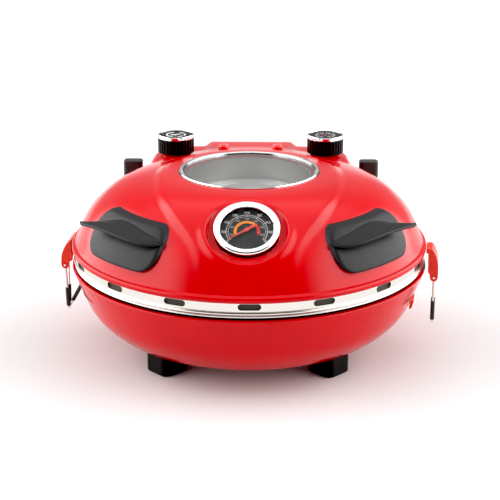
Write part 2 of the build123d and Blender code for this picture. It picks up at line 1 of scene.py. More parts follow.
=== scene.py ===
import json
import math
import bpy
import bmesh
import numpy as np
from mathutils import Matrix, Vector


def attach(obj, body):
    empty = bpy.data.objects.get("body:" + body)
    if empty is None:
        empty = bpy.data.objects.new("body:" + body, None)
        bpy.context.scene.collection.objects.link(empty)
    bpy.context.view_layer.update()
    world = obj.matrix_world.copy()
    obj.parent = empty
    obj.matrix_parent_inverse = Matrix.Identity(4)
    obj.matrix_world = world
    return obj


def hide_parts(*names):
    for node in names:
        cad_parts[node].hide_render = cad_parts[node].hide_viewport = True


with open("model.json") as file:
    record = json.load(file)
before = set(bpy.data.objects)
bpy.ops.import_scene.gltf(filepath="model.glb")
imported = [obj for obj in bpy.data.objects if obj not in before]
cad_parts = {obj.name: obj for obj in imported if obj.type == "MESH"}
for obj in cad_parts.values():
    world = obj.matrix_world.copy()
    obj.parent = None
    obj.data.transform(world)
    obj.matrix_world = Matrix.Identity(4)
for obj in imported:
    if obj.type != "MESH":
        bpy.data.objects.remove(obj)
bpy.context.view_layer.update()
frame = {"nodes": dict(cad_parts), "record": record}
NODES = frame["nodes"]
MM = 0.001
SHIFT_Y = -9.5      # the row's origin lies 9.5 mm behind the closing ring's axis

# Sizes below are millimetres in the row's frame; make() turns them into metres.

# ------------------------------------------------------------------ materials
def node(nt, kind, **inputs):
    n = nt.nodes.new(kind)
    for k, v in inputs.items():
        n.inputs[k.replace("_", " ")].default_value = v
    return n


def noise(nt, vec, scale, detail=3.0, rough=0.5):
    n = nt.nodes.new("ShaderNodeTexNoise")
    n.inputs["Scale"].default_value = scale
    n.inputs["Detail"].default_value = detail
    n.inputs["Roughness"].default_value = rough
    nt.links.new(vec, n.inputs["Vector"])
    return n.outputs["Fac"]


def ramp(nt, fac, stops):
    n = nt.nodes.new("ShaderNodeValToRGB")
    while len(n.color_ramp.elements) > 2:
        n.color_ramp.elements.remove(n.color_ramp.elements[-1])
    for i, (p, c) in enumerate(stops):
        e = n.color_ramp.elements[i] if i < 2 else n.color_ramp.elements.new(p)
        e.position = p
        e.color = (*c, 1.0)
    nt.links.new(fac, n.inputs["Fac"])
    return n.outputs["Color"]


def span(nt, fac, lo, hi, a=0.25, b=0.75):
    n = nt.nodes.new("ShaderNodeMapRange")
    n.inputs["From Min"].default_value = a
    n.inputs["From Max"].default_value = b
    n.inputs["To Min"].default_value = lo
    n.inputs["To Max"].default_value = hi
    nt.links.new(fac, n.inputs["Value"])
    return n.outputs["Result"]


def coords(nt, stretch=(1, 1, 1)):
    tc = nt.nodes.new("ShaderNodeTexCoord")
    mp = nt.nodes.new("ShaderNodeMapping")
    mp.inputs["Scale"].default_value = stretch
    nt.links.new(tc.outputs["Object"], mp.inputs["Vector"])
    return mp.outputs["Vector"]


def material(name, colour, var=0.08, var_scale=60.0, rough=(0.3, 0.4), rough_scale=120.0, bump=0.1, bump_scale=900.0,
             bump_dist=0.00008, metal=0.0, coat=0.0, coat_rough=0.03, spec=0.5, ior=1.5, stretch=(1, 1, 1), second=None,
             transmission=0.0, sheen=0.0, subsurface=0.0, emission=0.0):
    m = bpy.data.materials.new(name)
    m.use_nodes = True
    nt = m.node_tree
    p = nt.nodes["Principled BSDF"]
    v = coords(nt, stretch)
    c = np.array(colour, float)
    d = np.array(second, float) if second is not None else c * (1.0 - var)
    l = np.minimum(c * (1.0 + var), 1.0)
    nt.links.new(ramp(nt, noise(nt, v, var_scale, 4.0), [(0.3, tuple(d)), (0.7, tuple(l))]), p.inputs["Base Color"])
    nt.links.new(span(nt, noise(nt, v, rough_scale, 5.0, 0.6), rough[0], rough[1]), p.inputs["Roughness"])
    if bump > 0:
        b = nt.nodes.new("ShaderNodeBump")
        b.inputs["Strength"].default_value = bump
        b.inputs["Distance"].default_value = bump_dist
        nt.links.new(noise(nt, v, bump_scale, 3.0, 0.6), b.inputs["Height"])
        nt.links.new(b.outputs["Normal"], p.inputs["Normal"])
    p.inputs["Metallic"].default_value = metal
    p.inputs["Coat Weight"].default_value = coat
    p.inputs["Coat Roughness"].default_value = coat_rough
    p.inputs["Specular IOR Level"].default_value = spec
    p.inputs["IOR"].default_value = ior
    p.inputs["Transmission Weight"].default_value = transmission
    if sheen:
        p.inputs["Sheen Weight"].default_value = sheen
    if subsurface:
        p.inputs["Subsurface Weight"].default_value = subsurface
        p.inputs["Subsurface Radius"].default_value = (0.004, 0.0015, 0.001)
    return m


M = {
    "red_enamel": material("red_enamel", (0.53, 0.0022, 0.006), var=0.05, var_scale=22, rough=(0.15, 0.21), rough_scale=40,
                           bump=0.06, bump_scale=420, bump_dist=0.00004, coat=0.0, spec=0.24),
    "red_bracket": material("red_bracket", (0.80, 0.030, 0.012), var=0.07, var_scale=60, rough=(0.22, 0.32), rough_scale=90,
                            bump=0.10, bump_scale=700, bump_dist=0.00005, coat=0.0, spec=0.3),
    "bright_pan": material("bright_pan", (0.72, 0.72, 0.70), metal=1.0, rough=(0.16, 0.30), rough_scale=25, bump=0.15,
                           bump_scale=60, bump_dist=0.0002, var=0.05),
    "stone": material("stone", (0.55, 0.46, 0.34), var=0.2, var_scale=140, rough=(0.75, 0.95), bump=0.5, bump_scale=1400,
                      bump_dist=0.0003, second=(0.42, 0.34, 0.24)),
    "element": material("element", (0.10, 0.095, 0.09), metal=1.0, rough=(0.35, 0.6), bump=0.25, bump_scale=1500),
    "zinc": material("zinc", (0.55, 0.55, 0.54), metal=1.0, rough=(0.28, 0.42), rough_scale=200, bump=0.12, bump_scale=800),
    "foot_plastic": material("foot_plastic", (0.004, 0.0045, 0.005), spec=0.16, rough=(0.42, 0.58), rough_scale=300, bump=0.35,
                             bump_scale=2600, bump_dist=0.00006, var=0.2),
    "steel_band": material("steel_band", (0.74, 0.70, 0.655), metal=1.0, rough=(0.16, 0.26), rough_scale=20, bump=0.10,
                           bump_scale=14, bump_dist=0.00008, stretch=(1, 1, 70), var=0.04),
    "silicone": material("silicone", (0.05, 0.05, 0.05), rough=(0.6, 0.8), bump=0.2, bump_scale=1500),
    "trim_chrome": material("trim_chrome", (0.86, 0.87, 0.88), metal=1.0, rough=(0.07, 0.14), rough_scale=60, bump=0.04, bump_scale=300),
    "collar_steel": material("collar_steel", (0.62, 0.61, 0.60), metal=1.0, rough=(0.3, 0.42), rough_scale=20, bump=0.15,
                             bump_scale=14, bump_dist=0.0001, stretch=(1, 1, 60)),
    "bezel_chrome": material("bezel_chrome", (0.94, 0.94, 0.94), metal=1.0, rough=(0.10, 0.18), rough_scale=60, bump=0.04, bump_scale=300),
    "dial_black": material("dial_black", (0.022, 0.022, 0.023), rough=(0.45, 0.6), rough_scale=400, bump=0.15, bump_scale=2600,
                           bump_dist=0.00003, var=0.15),
    "needle_red": material("needle_red", (0.75, 0.07, 0.04), rough=(0.35, 0.5), bump=0.1, bump_scale=2000),
    "handle_plastic": material("handle_plastic", (0.010, 0.0095, 0.011), spec=0.28, rough=(0.40, 0.52), rough_scale=260, bump=0.40,
                               bump_scale=2400, bump_dist=0.00007, var=0.18, var_scale=500),
    "ceramic_block": material("ceramic_block", (0.80, 0.77, 0.72), rough=(0.6, 0.8), bump=0.2),
    "inner_black": material("inner_black", (0.03, 0.03, 0.03), rough=(0.45, 0.6), bump=0.2),
    "knob_plastic": material("knob_plastic", (0.005, 0.004, 0.005), spec=0.22, rough=(0.22, 0.34), rough_scale=200, bump=0.12, bump_scale=1800, var=0.2),
    "knob_chrome": material("knob_chrome", (0.88, 0.88, 0.89), metal=1.0, rough=(0.06, 0.12), rough_scale=80, bump=0.03, bump_scale=300),
    "knob_cap": material("knob_cap", (0.014, 0.013, 0.014), spec=0.05, rough=(0.28, 0.40), rough_scale=300, bump=0.10, bump_scale=2000, var=0.15),
    "lamp_red": material("lamp_red", (0.70, 0.008, 0.008), rough=(0.08, 0.15), rough_scale=100, bump=0.03, bump_scale=600, coat=0.5,
                         subsurface=0.15),
    "post_plastic": material("post_plastic", (0.040, 0.037, 0.038), spec=0.3, rough=(0.45, 0.58), rough_scale=300, bump=0.35, bump_scale=2400,
                             bump_dist=0.00006, var=0.2),
    "wire_steel": material("wire_steel", (0.72, 0.70, 0.66), metal=1.0, rough=(0.14, 0.24), rough_scale=300, bump=0.06, bump_scale=900),
    "grip_sleeve": material("grip_sleeve", (0.010, 0.010, 0.010), rough=(0.40, 0.55), rough_scale=300, bump=0.30, bump_scale=1800,
                            bump_dist=0.00006, var=0.2),
}


def glass(name, tint, rough, ior, clear):
    """Pane of glass: tinted, with a roughness range and IOR; clear sets its transmission weight, and its reflections
    come from the glass surface itself.
    """
    m = bpy.data.materials.new(name)
    m.use_nodes = True
    nt = m.node_tree
    p = nt.nodes["Principled BSDF"]
    v = coords(nt)
    nt.links.new(ramp(nt, noise(nt, v, 18.0, 3.0), [(0.3, tuple(np.array(tint) * 0.96)), (0.7, tint)]), p.inputs["Base Color"])
    nt.links.new(span(nt, noise(nt, v, 60.0, 4.0), rough[0], rough[1]), p.inputs["Roughness"])
    p.inputs["IOR"].default_value = ior
    p.inputs["Transmission Weight"].default_value = clear
    return m


M["window_glass"] = glass("window_glass", (0.93, 0.94, 0.94), (0.02, 0.05), 1.5, 1.0)
M["inner_glass"] = glass("inner_glass", (0.84, 0.81, 0.78), (0.10, 0.18), 1.5, 0.12)
M["gauge_lens"] = glass("gauge_lens", (0.98, 0.98, 0.98), (0.0, 0.02), 1.12, 1.0)
# painted shade: dark colour for the strip behind the band's vent slots
M["painted_slot_shade"] = material("painted_slot_shade", (0.030, 0.024, 0.013), rough=(0.5, 0.65), bump=0.2, bump_scale=1200, var=0.15)
M["print_white"] = material("print_white", (0.80, 0.79, 0.77), rough=(0.45, 0.6), bump=0.1, bump_scale=3000, bump_dist=0.00001)
M["print_grey"] = material("print_grey", (0.42, 0.41, 0.40), rough=(0.45, 0.6), bump=0.1, bump_scale=3000, bump_dist=0.00001)
M["print_orange"] = material("print_orange", (0.80, 0.22, 0.02), rough=(0.45, 0.6), bump=0.1, bump_scale=3000, bump_dist=0.00001,
                             var=0.1, var_scale=160, second=(0.85, 0.32, 0.03))
M["print_red"] = material("print_red", (0.75, 0.03, 0.02), rough=(0.45, 0.6), bump=0.1, bump_scale=3000, bump_dist=0.00001)
# painted shade: dark colour for the strips in the louvre slits
M["painted_vent_shade"] = material("painted_vent_shade", (0.10, 0.085, 0.05), rough=(0.55, 0.7), bump=0.2, bump_scale=1500, var=0.15)

SLOT = {r["node"]: r["material_slot"] for r in frame["record"]["subparts"]} if frame["record"].get("subparts") else {}
for nm, ob in NODES.items():
    mt = M[SLOT[nm]]
    ob.data.materials.clear()
    ob.data.materials.append(mt)
    ob.data.polygons.foreach_set("material_index", [0] * len(ob.data.polygons))
    ob.data.polygons.foreach_set("use_smooth", [True] * len(ob.data.polygons))
    ob.data.set_sharp_from_angle(angle=math.radians(32))
    ob.data.update()


# ------------------------------------------------------------------ mesh helpers
def make(name, verts, faces, mat, body, replaces=(), smooth=True, sharp=None, fix=True):
    me = bpy.data.meshes.new(name)
    me.from_pydata(((np.asarray(verts, float) + (0.0, SHIFT_Y, 0.0)) * MM).tolist(), [], faces)
    if fix:
        bm = bmesh.new()
        bm.from_mesh(me)
        bmesh.ops.recalc_face_normals(bm, faces=bm.faces)
        bm.to_mesh(me)
        bm.free()
    me.polygons.foreach_set("use_smooth", [smooth] * len(me.polygons))
    if sharp is not None:
        me.set_sharp_from_angle(angle=math.radians(sharp))
    me.update()
    ob = bpy.data.objects.new(name, me)
    bpy.context.scene.collection.objects.link(ob)
    me.materials.append(mat)
    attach(ob, body)
    if replaces:
        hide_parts(*replaces)
    return ob


def lathe(prof, n=256, closed=True):
    """Turns an (r, z) loop about Z."""
    verts, rows = [], []
    a = np.arange(n) * 2 * math.pi / n
    for r, z in prof:
        if r < 1e-6:
            rows.append([len(verts)])
            verts.append((0, 0, z))
        else:
            rows.append(list(range(len(verts), len(verts) + n)))
            verts += [(r * math.sin(t), -r * math.cos(t), z) for t in a]
    faces = []
    pairs = list(zip(rows, rows[1:])) + ([(rows[-1], rows[0])] if closed else [])
    for p, q in pairs:
        if len(p) == 1 and len(q) == 1:
            continue
        for i in range(n):
            j = (i + 1) % n
            if len(p) == 1:
                faces.append((p[0], q[j], q[i]))
            elif len(q) == 1:
                faces.append((p[i], p[j], q[0]))
            else:
                faces.append((p[i], p[j], q[j], q[i]))
    return verts, faces


def nspline(t, y, tq):
    t, y, tq = map(lambda k: np.asarray(k, float), (t, y, tq))
    n = len(t)
    h = np.diff(t)
    A = np.zeros((n, n))
    b = np.zeros(n)
    A[0, 0] = A[-1, -1] = 1
    for i in range(1, n - 1):
        A[i, i - 1], A[i, i], A[i, i + 1] = h[i - 1], 2 * (h[i - 1] + h[i]), h[i]
        b[i] = 3 * ((y[i + 1] - y[i]) / h[i] - (y[i] - y[i - 1]) / h[i - 1])
    c = np.linalg.solve(A, b)
    d = np.diff(c) / (3 * h)
    e = np.diff(y) / h - h * (2 * c[:-1] + c[1:]) / 3
    k = np.clip(np.searchsorted(t, tq) - 1, 0, n - 2)
    u = tq - t[k]
    return y[k] + u * (e[k] + u * (c[k] + u * d[k]))


def smooth_line(y, sigma):
    """Gaussian fairing of evenly spaced samples; the ends stay put."""
    w = int(4 * sigma) + 1
    k = np.exp(-0.5 * (np.arange(-w, w + 1) / sigma) ** 2)
    k /= k.sum()
    w = min(w, len(y) - 1)
    k = np.exp(-0.5 * (np.arange(-w, w + 1) / sigma) ** 2)
    k /= k.sum()
    p = np.concatenate([2 * y[0] - y[w:0:-1], y, 2 * y[-1] - y[-2:-w - 2:-1]])
    return np.convolve(p, k, "valid")


def fair(points, sigma=4.0, step=0.25):
    """Dense fair curve through (r, z) points."""
    p = np.array(points, float)
    s = np.concatenate([[0], np.cumsum(np.hypot(*np.diff(p, axis=0).T))])
    q = np.arange(0, s[-1] + step / 2, step)
    q[-1] = s[-1]
    r, z = nspline(s, p[:, 0], q), nspline(s, p[:, 1], q)
    if sigma > 0:
        r, z = smooth_line(r, sigma / step), smooth_line(z, sigma / step)
    return r, z


def S(t):
    t = np.clip(t, 0, 1)
    return t * t * t * (t * (6 * t - 15) + 10)


def smax(a, b, k):
    h = np.maximum(k - np.abs(a - b), 0) / k
    return np.maximum(a, b) + h * h * k / 4


def softplus(x):
    return np.log1p(np.exp(-np.abs(x))) + np.maximum(x, 0)


# ------------------------------------------------------------------ lid
GC = np.array((0.0, -135.0, 162.7))
GN = np.array((0.0, -math.cos(math.radians(56)), math.sin(math.radians(56))))
GV = np.array((0.0, math.sin(math.radians(56)), math.cos(math.radians(56))))
DOME = [(0, 174.8), (40, 174.75), (70, 174.5), (84, 174.2), (92, 173.8), (96.5, 173.3), (103, 172.3), (110, 171.0), (120, 168.2),
        (130, 164.0), (140, 158.0), (149.5, 150.2), (156, 143.6), (162.6, 135.0), (169.1, 122.0), (173.4, 112.4)]
GR, GZ = fair(DOME, 4.0)


def curve_of(pts, sigma=5.0):
    p = np.array(sorted(pts), float)
    x = np.arange(p[0, 0], p[-1, 0] + 0.5, 0.5)
    y = smooth_line(np.interp(x, p[:, 0], p[:, 1]), sigma / 0.5)
    return lambda q: np.interp(q, x, y)


WO = curve_of([(0, 97), (-17, 97), (-44, 96), (-70, 92), (-88, 87), (-99, 82), (-115, 74), (-126, 67.5), (-134, 61), (-150, 52), (-178, 45)])
WI = curve_of([(0, 84), (-17, 84.5), (-50, 82), (-70, 78), (-88, 72.8), (-119, 62), (-134, 52), (-150, 40), (-178, 30)])
HT = curve_of([(0, 4.1), (-90, 4.1), (-105, 3.9), (-120, 3.2), (-135, 2.4), (-150, 1.4), (-165, 0.5), (-174, 0), (-178, 0)])


def lid_z(x, y):
    r = np.hypot(x, y)
    g = np.interp(r, GR, GZ)
    back = 4.1 * S((97 - r) / 14.0)
    yy = np.minimum(y, 0)
    front = HT(yy) * S((WO(yy) - np.abs(x)) / (WO(yy) - WI(yy)))
    z = g + np.where(y >= 0, back, front)
    # raised housing behind the window
    hx, hy, rad = 105.0, 40.0, 26.0
    qx, qy = np.abs(x) - (hx - rad), np.abs(y - 106.0) - (hy - rad)
    sd = np.hypot(np.maximum(qx, 0), np.maximum(qy, 0)) + np.minimum(np.maximum(qx, qy), 0) - rad
    sd = smax(sd, r - 160.0, 8.0)
    top = 168.6 + 4.9 * S((52 - np.abs(x)) / 11.0)
    slope = 2.8 + 2.6 * S((r - 148) / 14.0)
    hump = top - slope * 2.5 * softplus((sd + 1.0) / 2.5)
    for s in (-1, 1):
        kr = np.hypot(x - s * 79.4, y - 97.0)
        hump = hump + (172.0 - 168.6) * S((16.6 - kr) / 2.0)
    z = smax(z, hump, 4.0)
    # recess for the thermometer
    dx, dy = x - GC[0], y - GC[1]
    zf = GC[2] + (-6.05 - GN[1] * dy) / GN[2]
    vz = z - GC[2]
    v = GV[1] * dy + GV[2] * vz
    rho = np.hypot(dx, v)
    phi = np.arctan2(-v, np.abs(dx))
    low = S((phi + 0.35) / 0.9)
    near = (y < -70) & (np.abs(x) < 60)
    rim = z + (2.6 * low * np.exp(-((rho - 41.0) / 3.2) ** 2)) / GN[2]
    m = S((rho - 34.2) / 4.6)
    seat = zf * (1 - m) + rim * m
    seat = seat - 11.0 * S((29.3 - rho) / 2.4)
    return np.where(near, seat, z)


def lid_mesh():
    th = []
    a = -180.0
    while a < 180.0 - 1e-6:
        th.append(a)
        q = abs(a + 0.01)
        a += 0.5 if q < 24 else (1.0 if q < 112 else 0.6)
    th = np.radians(np.array(th))
    n = len(th)
    sn, cs = np.sin(th), -np.cos(th)
    rows = []

    def flat(r, z):
        rows.append(np.stack([r * sn, r * cs, np.full(n, z)], 1))

    def follow(r, dz=0.0):
        x, y = r * sn, r * cs
        rows.append(np.stack([x, y, lid_z(x, y) + dz], 1))

    flat(62.0, 173.5)
    flat(62.3, 174.4)
    flat(63.0, 174.6)
    flat(69.5, 174.6)
    flat(69.75, 174.9)
    follow(69.85, -1.2)
    follow(70.0, -0.45)
    follow(70.35, -0.1)
    follow(71.0)
    for r in np.arange(72.0, 173.0, 0.95):
        follow(r)
    # rolled lip
    lip = [(173.4, 112.4), (174.0, 111.1), (174.7, 110.35), (175.6, 109.95), (176.5, 109.6), (177.2, 109.15), (177.7, 108.45), (177.95, 107.6),
           (178.0, 106.6), (177.95, 105.6), (177.7, 104.85), (177.1, 104.4), (176.2, 104.35), (175.4, 104.4), (175.1, 104.9), (175.0, 106.0)]
    for r, z in lip:
        flat(r, z)
    inner = [(174.4, 107.6), (172.4, 110.9)]
    for r, z in inner:
        flat(r, z)
    for r in np.concatenate([np.arange(170.5, 70.5, -2.4), [70.0]]):
        x, y = r * sn, r * cs
        e = 0.4
        gx = (lid_z(x + e, y) - lid_z(x - e, y)) / (2 * e)
        gy = (lid_z(x, y + e) - lid_z(x, y - e)) / (2 * e)
        t = 1.4 * np.minimum(np.sqrt(1 + gx * gx + gy * gy), 3.0)
        rows.append(np.stack([x, y, lid_z(x, y) - t], 1))
    flat(69.0, 173.4)
    verts = np.concatenate(rows)
    faces = []
    m = len(rows)
    for j in range(m):
        k = (j + 1) % m
        for i in range(n):
            i2 = (i + 1) % n
            faces.append((j * n + i, j * n + i2, k * n + i2, k * n + i))
    return verts, faces


v, f = lid_mesh()
make("lid_dome", v, f, M["red_enamel"], "lid", replaces=("lid_shell", "gauge_seat"), sharp=60)


# ------------------------------------------------------------------ bowl
BOWL = [(178.0, 87.4), (176.0, 81.5), (173.0, 73.3), (168.2, 61.2), (161.9, 46.5), (151.0, 33.2), (136.6, 22.2), (119.0, 15.3), (100.5, 12.0),
        (86.0, 11.7)]
BR, BZ = fair(BOWL, 4.0)


def bowl_profile():
    out = [(173.3, 86.45), (173.3, 87.2), (173.6, 87.42), (176.6, 87.42), (177.4, 87.35), (177.85, 87.05), (177.98, 86.6)]
    r, z = BR[BZ < 86.2], BZ[BZ < 86.2]
    idx = list(range(0, len(r), 8))
    curve = [(float(r[i]), float(z[i])) for i in idx]
    tail = [(84.0, 11.63), (70.0, 11.6), (40.0, 11.6), (0.0, 11.6)]
    # inside, one sheet further in
    dr, dz = np.gradient(BR), np.gradient(BZ)
    ln = np.hypot(dr, dz)
    ir, iz = BR + 1.2 * dz / ln, BZ - 1.2 * dr / ln
    keep = [(float(ir[i]), float(iz[i])) for i in range(0, len(ir), 14) if iz[i] < 86.0]
    back = [(0.0, 12.8), (40.0, 12.8), (80.0, 12.8)] + keep[::-1]
    return out + curve + tail + back


bp = bowl_profile()


v, f = lathe(bp, 360)
make("bowl_shell", v, f, M["red_enamel"], "base", replaces=("base_bowl",), sharp=50)


# painted shade: a dark strip behind the vent slots of the steel band stands in for the shaded inside seen through them
v, f = lathe([(174.2, 97.0), (174.2, 104.3), (173.9, 104.3), (173.9, 97.0)], 240)
make("painted_slot_shade_strip", v, f, M["painted_slot_shade"], "lid", sharp=50)

# pressed air louvres, one on each side of the bowl's front; the dark strip in each slit is painted shade
BS = np.concatenate([[0], np.cumsum(np.hypot(np.diff(BR), np.diff(BZ)))])
BDR, BDZ = np.gradient(BR), np.gradient(BZ)


def on_bowl(az, s, t, h):
    """Point s mm along the rim and t mm up the wall from the louvre's middle, raised h."""
    m = float(np.interp(-LOUVRE_Z, -BZ, BS)) - t
    r, z = float(np.interp(m, BS, BR)), float(np.interp(m, BS, BZ))
    dr, dz = float(np.interp(m, BS, BDR)), float(np.interp(m, BS, BDZ))
    ln = math.hypot(dr, dz)
    r2, z2 = r - h * dz / ln, z + h * dr / ln
    q = math.radians(az) + s / r
    return (r2 * math.sin(q), -r2 * math.cos(q), z2)


LOUVRE_Z, LOUVRE_L, LOUVRE_T, LOUVRE_H = 66.0, 17.5, 2.8, 1.1


def shell_grid(lo, hi, ns, nt, s_of, t_of, az):
    """Closed block between two height fields over an (s, t) patch."""
    top, bot, faces = [], [], []
    for i in range(ns + 1):
        for j in range(nt + 1):
            s, t = s_of(i / ns), t_of(j / nt)
            top.append(on_bowl(az, s, t, hi(s, t)))
            bot.append(on_bowl(az, s, t, lo(s, t)))
    n = len(top)
    idx = lambda i, j: i * (nt + 1) + j
    for i in range(ns):
        for j in range(nt):
            q = (idx(i, j), idx(i + 1, j), idx(i + 1, j + 1), idx(i, j + 1))
            faces += [q, tuple(n + k for k in q[::-1])]
    edge = [idx(i, 0) for i in range(ns)] + [idx(ns, j) for j in range(nt)] + [idx(i, nt) for i in range(ns, 0, -1)] + [idx(0, j) for j in range(nt, 0, -1)]
    for a, b in zip(edge, edge[1:] + edge[:1]):
        faces.append((a, n + a, n + b, b))
    return top + bot, faces


for side, nm in ((-1, "left"), (1, "right")):
    full = lambda s: LOUVRE_H * max(1 - (s / LOUVRE_L) ** 2, 0.0)
    rise = lambda t: float(S(np.array((LOUVRE_T + t) / (2 * LOUVRE_T))))
    v, f = shell_grid(lambda s, t: -0.8, lambda s, t: 0.03 + full(s) * rise(t), 30, 8, lambda k: LOUVRE_L * (2 * k - 1),
                      lambda k: LOUVRE_T * (2 * k - 1), 66.0 * side)
    make(nm + "_louvre", v, f, M["red_enamel"], "base", sharp=50)
    # painted shade: a dark strip along the slit stands in for the shaded opening
    v, f = shell_grid(lambda s, t: -0.5, lambda s, t: 0.02 + max(full(s) - 0.35, 0.0), 30, 1, lambda k: 0.88 * LOUVRE_L * (2 * k - 1),
                      lambda k: LOUVRE_T + 0.15 - 0.6 * (1 - k), 66.0 * side)
    make(nm + "_louvre_painted_shade", v, f, M["painted_vent_shade"], "base", smooth=False)


# ------------------------------------------------------------------ handles
def offset_curve(d):
    dr, dz = np.gradient(GR), np.gradient(GZ)
    ln = np.hypot(dr, dz)
    return GR - d * dz / ln, GZ + d * dr / ln


_curves = {}


def skin_r(z, d):
    key = round(float(d), 3)
    if key not in _curves:
        r, zz = offset_curve(key)
        o = np.argsort(zz)
        _curves[key] = (zz[o], r[o])
    zz, r = _curves[key]
    return np.interp(z, zz, r)


def rr_outline(ha, hz, radii, n=14):
    """Rounded rectangle as (a, z, normal a, normal z); radii for corners ++, -+, --, +-."""
    pts = []
    for (sa, sz), rad, start in zip(((1, 1), (-1, 1), (-1, -1), (1, -1)), radii, (0, 90, 180, 270)):
        ca, cz = sa * (ha - rad), sz * (hz - rad)
        for i in range(n + 1):
            t = math.radians(start + 90.0 * i / n)
            pts.append((ca + rad * math.cos(t), cz + rad * math.sin(t), math.cos(t), math.sin(t)))
    return np.array(pts)


def densify(p, step=3.0):
    out = []
    for i in range(len(p)):
        a, b = p[i], p[(i + 1) % len(p)]
        d = math.hypot(*(b[:2] - a[:2]))
        k = max(1, int(round(d / step)))
        for j in range(k):
            q = a + (b - a) * j / k
            q[2:] /= max(np.hypot(*q[2:]), 1e-9)
            out.append(q)
    return np.array(out)


AZ = 48.0
PAD_A = -0.75


def wrap(side, a, z, d):
    """(a, z) on the handle pad, lifted d from the dome's skin; a is positive towards the back."""
    r = skin_r(z, d)
    y = -np.sqrt(np.maximum(r * r - a * a, 0))
    t = math.radians(AZ)
    x0, y0 = a, y
    x = x0 * math.cos(t) - y0 * math.sin(t)
    yy = x0 * math.sin(t) + y0 * math.cos(t)
    return np.stack([side * x, yy, z * np.ones_like(x)], -1)


def pad_mesh(side):
    base = densify(rr_outline(48.5, 19.3, (15.0, 15.0, 18.5, 15.0)))
    a, z, na, nz = base.T
    a = a - 6.5 * (19.3 - z) / 38.6
    rows = []
    for e, d in ((0.0, -1.6), (0.0, 1.6), (0.12, 2.8), (0.5, 3.7), (1.2, 4.3), (2.2, 4.55), (3.6, 4.6)):
        rows.append(wrap(side, PAD_A + a - e * na, 140.2 + z - e * nz, d))
    ai, zi = a - 3.6 * na, z - 3.6 * nz
    for s in (0.86, 0.7, 0.52, 0.34, 0.17):
        rows.append(wrap(side, PAD_A + ai * s, 140.2 + zi * s, 4.6))
    n = len(a)
    verts = np.concatenate(rows + [wrap(side, np.array([PAD_A]), np.array([140.2]), 4.6), wrap(side, np.array([PAD_A]), np.array([140.2]), -1.6)])
    faces = []
    for j in range(len(rows) - 1):
        for i in range(n):
            k = (i + 1) % n
            faces.append((j * n + i, j * n + k, (j + 1) * n + k, (j + 1) * n + i))
    top, bot = len(rows) * n, len(rows) * n + 1
    for i in range(n):
        k = (i + 1) % n
        faces.append(((len(rows) - 1) * n + i, (len(rows) - 1) * n + k, top))
        faces.append((k, i, bot))
    return verts, faces


def polar(r, deg, z):
    t = math.radians(deg)
    return np.array((r * math.sin(t), -r * math.cos(t), z))


BLADE = [  # root angle, root z, edge angle, edge r, edge z, thickness at root, how far the root has left the pad
    (28.6, 147.5, 28.3, 158.0, 147.2, 3.0, 0.0),
    (32.2, 150.5, 30.8, 165.0, 147.2, 5.0, 0.0),
    (37.4, 152.9, 35.4, 170.5, 148.0, 6.4, 0.0),
    (44.6, 155.8, 43.0, 173.5, 150.6, 7.0, 0.0),
    (52.6, 155.5, 51.0, 175.0, 152.0, 6.4, 0.06),
    (59.6, 152.4, 57.6, 177.4, 151.0, 4.6, 0.50),
    (64.4, 149.8, 62.4, 179.2, 149.2, 3.5, 0.90),
]


def blade_mesh(side):
    b = np.array(BLADE)
    t = np.arange(len(b))
    q = np.linspace(0, len(b) - 1, 49)
    c = np.stack([nspline(t, b[:, i], q) for i in range(b.shape[1])], 1)
    roots = np.array([polar(float(skin_r(k[1], 3.4)), k[0], k[1]) for k in c])
    edges = np.array([polar(k[3], k[2], k[4]) for k in c])
    away = np.clip(c[:, 6:7], 0.0, 0.9)
    roots = roots + (edges - roots) * away
    loops = []
    for i in range(len(c)):
        R, E = roots[i], edges[i]
        u = E - R
        w = np.linalg.norm(u)
        u = u / w
        along = roots[min(i + 1, len(c) - 1)] + edges[min(i + 1, len(c) - 1)] - roots[max(i - 1, 0)] - edges[max(i - 1, 0)]
        nrm = np.cross(u, along)
        nrm = nrm / np.linalg.norm(nrm)
        if nrm[2] < 0:
            nrm = -nrm
        tr, te = c[i, 5], 2.9
        # ends shrink to a rounded tip
        k = i / (len(c) - 1)
        end = math.sqrt(max(1 - max(0, (k - 0.965) / 0.035) ** 2, 0.02))
        start = math.sqrt(max(1 - max(0, (0.05 - k) / 0.05) ** 2, 0.02))
        tr, te = tr * end * start, te * end * start
        loop = []
        for s in np.linspace(0, 1, 10):
            th = (tr + (te - tr) * S(np.array(s * 1.0)))
            crown = 1.2 * math.sin(math.pi * s) * start
            loop.append(R + u * (w - te / 2) * s + nrm * crown)
        for g in np.linspace(80, -80, 7):
            loop.append(R + u * (w - te / 2) + u * te / 2 * math.cos(math.radians(g)) + nrm * (te / 2 * math.sin(math.radians(g)) - te / 2))
        for s in np.linspace(1, 0, 10):
            th = float(tr + (te - tr) * S(np.array(s)))
            crown = 1.2 * math.sin(math.pi * s) * start
            loop.append(R + u * (w - te / 2) * s + nrm * (crown - th))
        loops.append(np.array(loop))
    n = len(loops[0])
    verts = np.concatenate(loops)
    verts[:, 0] *= side
    faces = []
    for j in range(len(loops) - 1):
        for i in range(n):
            k = (i + 1) % n
            faces.append((j * n + i, j * n + k, (j + 1) * n + k, (j + 1) * n + i))
    faces.append(tuple(range(n)))
    faces.append(tuple(range((len(loops) - 1) * n, len(loops) * n)))
    return verts, faces


for side, nm in ((-1, "left"), (1, "right")):
    v, f = pad_mesh(side)
    make(nm + "_handle_pad", v, f, M["handle_plastic"], "lid", replaces=(nm + "_handle",), sharp=60)
    v, f = blade_mesh(side)
    make(nm + "_handle_blade", v, f, M["handle_plastic"], "lid", sharp=50)


